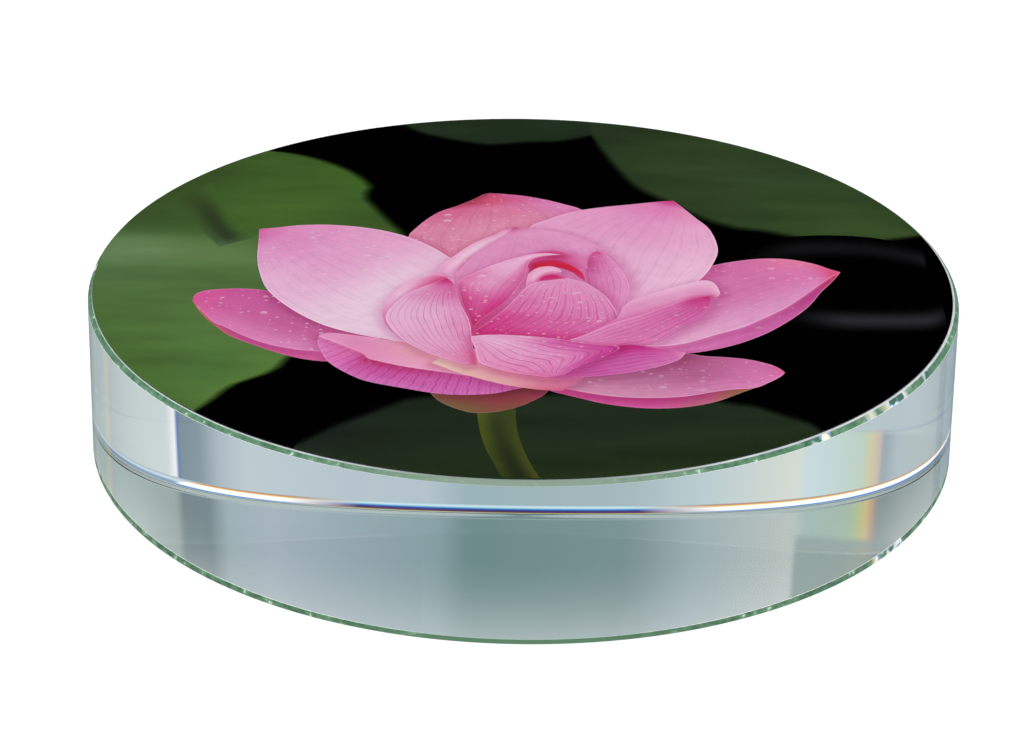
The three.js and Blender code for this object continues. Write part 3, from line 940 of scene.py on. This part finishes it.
# Veins: lines that run with the petal, a little bent, with finer ones between them.
flow = inks.nodes.new("ShaderNodeCombineXYZ")
inks.links.new(calc(inks, "MULTIPLY", across_petal, 0.55), flow.inputs[0])
inks.links.new(calc(inks, "MULTIPLY", along_petal, 0.9), flow.inputs[1])
inks.links.new(drawn.outputs["Alpha"], flow.inputs[2])
bend = noise(inks, flow.outputs[0], 1.0)
phase = calc(inks, "MULTIPLY_ADD", bend, 0.7, across_petal)
main_vein = span(inks, calc(inks, "PINGPONG", phase, 0.5), 0.02, 0.12, 1.0, 0.0)
fine_phase = calc(inks, "MULTIPLY_ADD", phase, 2.6, 0.35)
fine_vein = span(inks, calc(inks, "PINGPONG", fine_phase, 0.5), 0.0, 0.26, 1.0, 0.0)
patchy = span(inks, bend, 0.30, 0.62)
line = calc(inks, "MAXIMUM", calc(inks, "MULTIPLY", main_vein, 0.95),
            calc(inks, "MULTIPLY", fine_vein, 0.45))
line = calc(inks, "MULTIPLY", line, calc(inks, "MULTIPLY_ADD", patchy, 0.5, 0.5))
colour = tint.outputs["Color"]
vein_ink = blend(inks, 1.0, colour, (0.67, 0.28, 0.56), "MULTIPLY")
colour = blend(inks, calc(inks, "MULTIPLY", line, veins, clamp=True), colour, vein_ink)
# Soft mottling of the flesh; the leaves have broad faint streaks instead.
leafy = span(inks, soft, 0.0, 0.5)
mottle = noise(inks, place, 700.0, 4.0)
stretch = inks.nodes.new("ShaderNodeMapping")
stretch.inputs["Scale"].default_value = (55.0, 230.0, 1.0)
stretch.inputs["Rotation"].default_value = (0.0, 0.0, 0.12)
inks.links.new(place, stretch.inputs["Vector"])
streaks = noise(inks, stretch.outputs[0], 1.0, 3.0)
flesh_grain = calc(inks, "MULTIPLY_ADD", calc(inks, "SUBTRACT", mottle, 0.5), 0.20, 1.0)
leaf_grain = calc(inks, "MULTIPLY_ADD", calc(inks, "SUBTRACT", streaks, 0.5), 0.95, 1.02)
flesh = calc(inks, "MULTIPLY", flesh_grain, calc(inks, "SUBTRACT", 1.0, leafy))
grain = calc(inks, "MULTIPLY_ADD", leaf_grain, leafy, flesh)
colour = blend(inks, 1.0, colour, grain, "MULTIPLY")
# The thin pale lip of each petal.
lip = span(inks, edge, 0.03, 0.20, 1.0, 0.0)
pale = blend(inks, 1.0, colour, (0.30, 0.24, 0.27), "ADD")
colour = blend(inks, calc(inks, "MULTIPLY", lip, calc(inks, "MAXIMUM", rim, 0.0)), colour, pale)
dark_lip = calc(inks, "MULTIPLY", lip, calc(inks, "MAXIMUM", calc(inks, "MULTIPLY", rim, -1.0), 0.0))
colour = blend(inks, dark_lip, colour, (0.45, 0.06, 0.22))


def water_drops(base, cells_per_metre, rarity, largest, strength):
    """Round drops of one size on the wet petals: a bright head and a darker foot."""
    drops = inks.nodes.new("ShaderNodeTexVoronoi")
    drops.inputs["Scale"].default_value = cells_per_metre
    drops.inputs["Randomness"].default_value = 0.9
    inks.links.new(place, drops.inputs["Vector"])
    chosen = inks.nodes.new("ShaderNodeSeparateColor")
    inks.links.new(drops.outputs["Color"], chosen.inputs[0])
    size = span(inks, chosen.outputs[0], rarity, 1.0, 0.0, largest)
    dome = span(inks, calc(inks, "SUBTRACT", size, drops.outputs["Distance"]), 0.0, 0.06)
    slope = inks.nodes.new("ShaderNodeVectorMath")
    slope.operation = "SUBTRACT"
    inks.links.new(place, slope.inputs[0])
    inks.links.new(drops.outputs["Position"], slope.inputs[1])
    slope_parts = inks.nodes.new("ShaderNodeSeparateXYZ")
    inks.links.new(slope.outputs[0], slope_parts.inputs[0])
    radius = largest / cells_per_metre
    head = span(inks, slope_parts.outputs[1], -0.8 * radius, 0.5 * radius)
    foot_ink = blend(inks, 1.0, base, (0.86, 0.66, 0.78), "MULTIPLY")
    drop = blend(inks, head, foot_ink, (0.92, 0.78, 0.86))
    seen_drop = calc(inks, "MULTIPLY", calc(inks, "MULTIPLY", dome, wet), strength, clamp=True)
    return blend(inks, seen_drop, base, drop)


colour = water_drops(colour, 1500.0, 0.10, 0.34, 0.55)
colour = water_drops(colour, 560.0, 0.52, 0.27, 0.50)
# Blurred borders of the leaves fall away into the dark water.
fade = calc(inks, "DIVIDE", edge, calc(inks, "MAXIMUM", soft, 0.001), clamp=True)
fade = calc(inks, "MULTIPLY", fade, fade)
colour = blend(inks, fade, BLACK_INK, colour)
inks.links.new(colour, shader.inputs["Base Color"])
shader.inputs["Roughness"].default_value = 0.6
shader.inputs["Specular IOR Level"].default_value = 0.0
print_piece.data.materials.clear()
print_piece.data.materials.append(paint)
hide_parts("picture_print")
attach(print_piece, "root")

# The adhesive: a sheet of clear double-sided film, cut round with the print, that holds it to the
# glass. Its cut side shows as a thin greyish line.
ADHESIVE_BOTTOM, ADHESIVE_TOP = 15.5, 15.529
adhesive = round_sheet("adhesive_sheet", ADHESIVE_BOTTOM, ADHESIVE_TOP)
glue = bpy.data.materials.new("clear_adhesive")
glue.use_nodes = True
tree = glue.node_tree
shader = tree.nodes["Principled BSDF"]
place = tree.nodes.new("ShaderNodeTexCoord").outputs["Object"]
milky = blend(tree, noise(tree, place, 300.0), (0.45, 0.50, 0.48), (0.58, 0.62, 0.60))
tree.links.new(milky, shader.inputs["Base Color"])
shader.inputs["Roughness"].default_value = 0.3
adhesive.data.materials.append(glue)
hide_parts("adhesive_film")
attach(adhesive, "root")

# The cover: a clear gloss film rolled on over the print to keep it from wear. It is all but flat,
# with the faint ripple that such film keeps from its roll.
COVER_BOTTOM, COVER_TOP = 15.612, 15.65
cover = round_sheet("cover_film", COVER_BOTTOM, COVER_TOP)
gloss = bpy.data.materials.new("clear_gloss_film")
gloss.use_nodes = True
tree = gloss.node_tree
tree.nodes.remove(tree.nodes["Principled BSDF"])
see_through = tree.nodes.new("ShaderNodeBsdfTransparent")
sheen_coat = tree.nodes.new("ShaderNodeBsdfGlossy")
sheen_coat.inputs["Roughness"].default_value = 0.06
fresnel = tree.nodes.new("ShaderNodeFresnel")
fresnel.inputs["IOR"].default_value = 1.45
place = tree.nodes.new("ShaderNodeTexCoord").outputs["Object"]
ripple = tree.nodes.new("ShaderNodeBump")
ripple.inputs["Strength"].default_value = 0.02
ripple.inputs["Distance"].default_value = 0.00002
tree.links.new(noise(tree, place, 160.0), ripple.inputs["Height"])
tree.links.new(ripple.outputs[0], sheen_coat.inputs["Normal"])
outside = calc(tree, "SUBTRACT", 1.0, tree.nodes.new("ShaderNodeNewGeometry").outputs["Backfacing"])
coat = tree.nodes.new("ShaderNodeMixShader")
tree.links.new(calc(tree, "MULTIPLY", fresnel.outputs[0], outside), coat.inputs[0])
tree.links.new(see_through.outputs[0], coat.inputs[1])
tree.links.new(sheen_coat.outputs[0], coat.inputs[2])
tree.links.new(coat.outputs[0], tree.nodes["Material Output"].inputs["Surface"])
cover.data.materials.append(gloss)
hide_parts("clear_cover_film")
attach(cover, "root")
